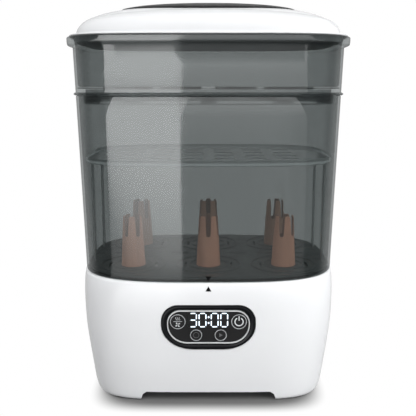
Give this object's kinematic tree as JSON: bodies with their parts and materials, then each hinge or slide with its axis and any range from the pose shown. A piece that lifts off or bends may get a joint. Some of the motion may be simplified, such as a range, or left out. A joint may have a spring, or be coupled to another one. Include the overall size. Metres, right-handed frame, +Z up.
{
  "type": "bottle sterilizer",
  "caption": "Steam sterilizer and dryer: oval base with control panel, see-through tub with posts, rack, upper tray, domed lid.",
  "frame": {"origin": "middle of the footprint, on the surface that it stands on", "axes": "+Z up, the control panel faces -Y, +X to the right seen from the front"},
  "size_m": [0.2816, 0.2006, 0.3997],
  "materials": {
    "white_shell": "glossy moulded white ABS",
    "smoke_tub": "see-through smoke-grey polished plastic",
    "clear_rack": "see-through polished plastic",
    "dark_tray": "satin dark grey moulded plastic",
    "coral_post": "satin coral moulded plastic",
    "black_panel": "glossy black plastic",
    "black_part": "satin black plastic",
    "bright_trim": "bright metallised trim",
    "steel_plate": "brushed stainless steel",
    "steel_part": "plain steel",
    "foot_rubber": "matt black rubber",
    "seal_silicone": "grey silicone",
    "circuit_board": "green solder-masked laminate",
    "filter_pad": "pleated off-white filter paper",
    "copper_part": "copper-coloured windings"
  },
  "bodies": {
    "base": {"base_housing": "white_shell", "base_deck": "white_shell", "bottom_plate": "dark_tray", "rubber_foot_front_left": "foot_rubber", "rubber_foot_front_right": "foot_rubber", "rubber_foot_rear_left": "foot_rubber", "rubber_foot_rear_right": "foot_rubber", "base_screw_front_left": "steel_part", "base_screw_front_right": "steel_part", "base_screw_rear_left": "steel_part", "base_screw_rear_right": "steel_part", "plate_seal": "seal_silicone", "heating_plate": "steel_plate", "heating_element": "steel_part", "thermostat": "black_part", "temperature_sensor": "copper_part", "fan_frame": "black_part", "fan_motor": "steel_part", "air_duct": "dark_tray", "air_heater": "steel_part", "air_outlet_cap": "white_shell", "air_filter": "filter_pad", "panel_bezel": "black_panel", "panel_trim": "bright_trim", "panel_face": "black_panel", "display_module": "black_panel", "control_board": "circuit_board", "mode_button_switch": "black_part", "power_button_switch": "black_part", "time_button_switch": "black_part", "start_button_switch": "black_part", "power_board": "circuit_board", "transformer": "copper_part", "power_relay": "black_part", "power_inlet": "black_part"},
    "fan_rotor": {"fan_impeller": "dark_tray"},
    "filter_door": {"filter_cover": "white_shell"},
    "mode_key": {"mode_button": "black_panel"},
    "power_key": {"power_button": "black_panel"},
    "time_key": {"time_button": "black_panel"},
    "start_key": {"start_button": "black_panel"},
    "container": {"bottle_container": "smoke_tub", "bottle_tray": "dark_tray", "bottle_post_front_left": "coral_post", "bottle_post_front_middle": "coral_post", "bottle_post_front_right": "coral_post", "bottle_post_rear_left": "coral_post", "bottle_post_rear_middle": "coral_post", "bottle_post_rear_right": "coral_post"},
    "rack": {"nipple_rack": "clear_rack"},
    "upper_tray": {"accessory_tray": "smoke_tub"},
    "lid": {"lid_dome": "white_shell", "lid_cap": "black_panel", "lid_screw_left": "steel_part", "lid_screw_right": "steel_part"}
  },
  "joints": [
    {"name": "fan_spin", "type": "hinge", "parent": "base", "child": "fan_rotor", "pos_m": [0, 0.07, 0.056], "axis": [0, 1, 0], "continuous": true},
    {"name": "filter_cover_slide", "type": "slide", "parent": "base", "child": "filter_door", "axis": [0, 1, 0], "range_m": [0, 0.03]},
    {"name": "mode_press", "type": "slide", "parent": "base", "child": "mode_key", "axis": [0, 1, 0], "range_m": [0, 0.0008], "stiffness_N_per_m": 2500},
    {"name": "power_press", "type": "slide", "parent": "base", "child": "power_key", "axis": [0, 1, 0], "range_m": [0, 0.0008], "stiffness_N_per_m": 2500},
    {"name": "time_press", "type": "slide", "parent": "base", "child": "time_key", "axis": [0, 1, 0], "range_m": [0, 0.0008], "stiffness_N_per_m": 2500},
    {"name": "start_press", "type": "slide", "parent": "base", "child": "start_key", "axis": [0, 1, 0], "range_m": [0, 0.0008], "stiffness_N_per_m": 2500},
    {"name": "container_lift", "type": "slide", "parent": "base", "child": "container", "axis": [0, 0, 1], "range_m": [0, 0.06]},
    {"name": "rack_lift", "type": "slide", "parent": "container", "child": "rack", "axis": [0, 0, 1], "range_m": [0, 0.19]},
    {"name": "tray_lift", "type": "slide", "parent": "rack", "child": "upper_tray", "axis": [0, 0, 1], "range_m": [0, 0.05]},
    {"name": "lid_lift", "type": "slide", "parent": "upper_tray", "child": "lid", "axis": [0, 0, 1], "range_m": [0, 0.05]}
  ]
}
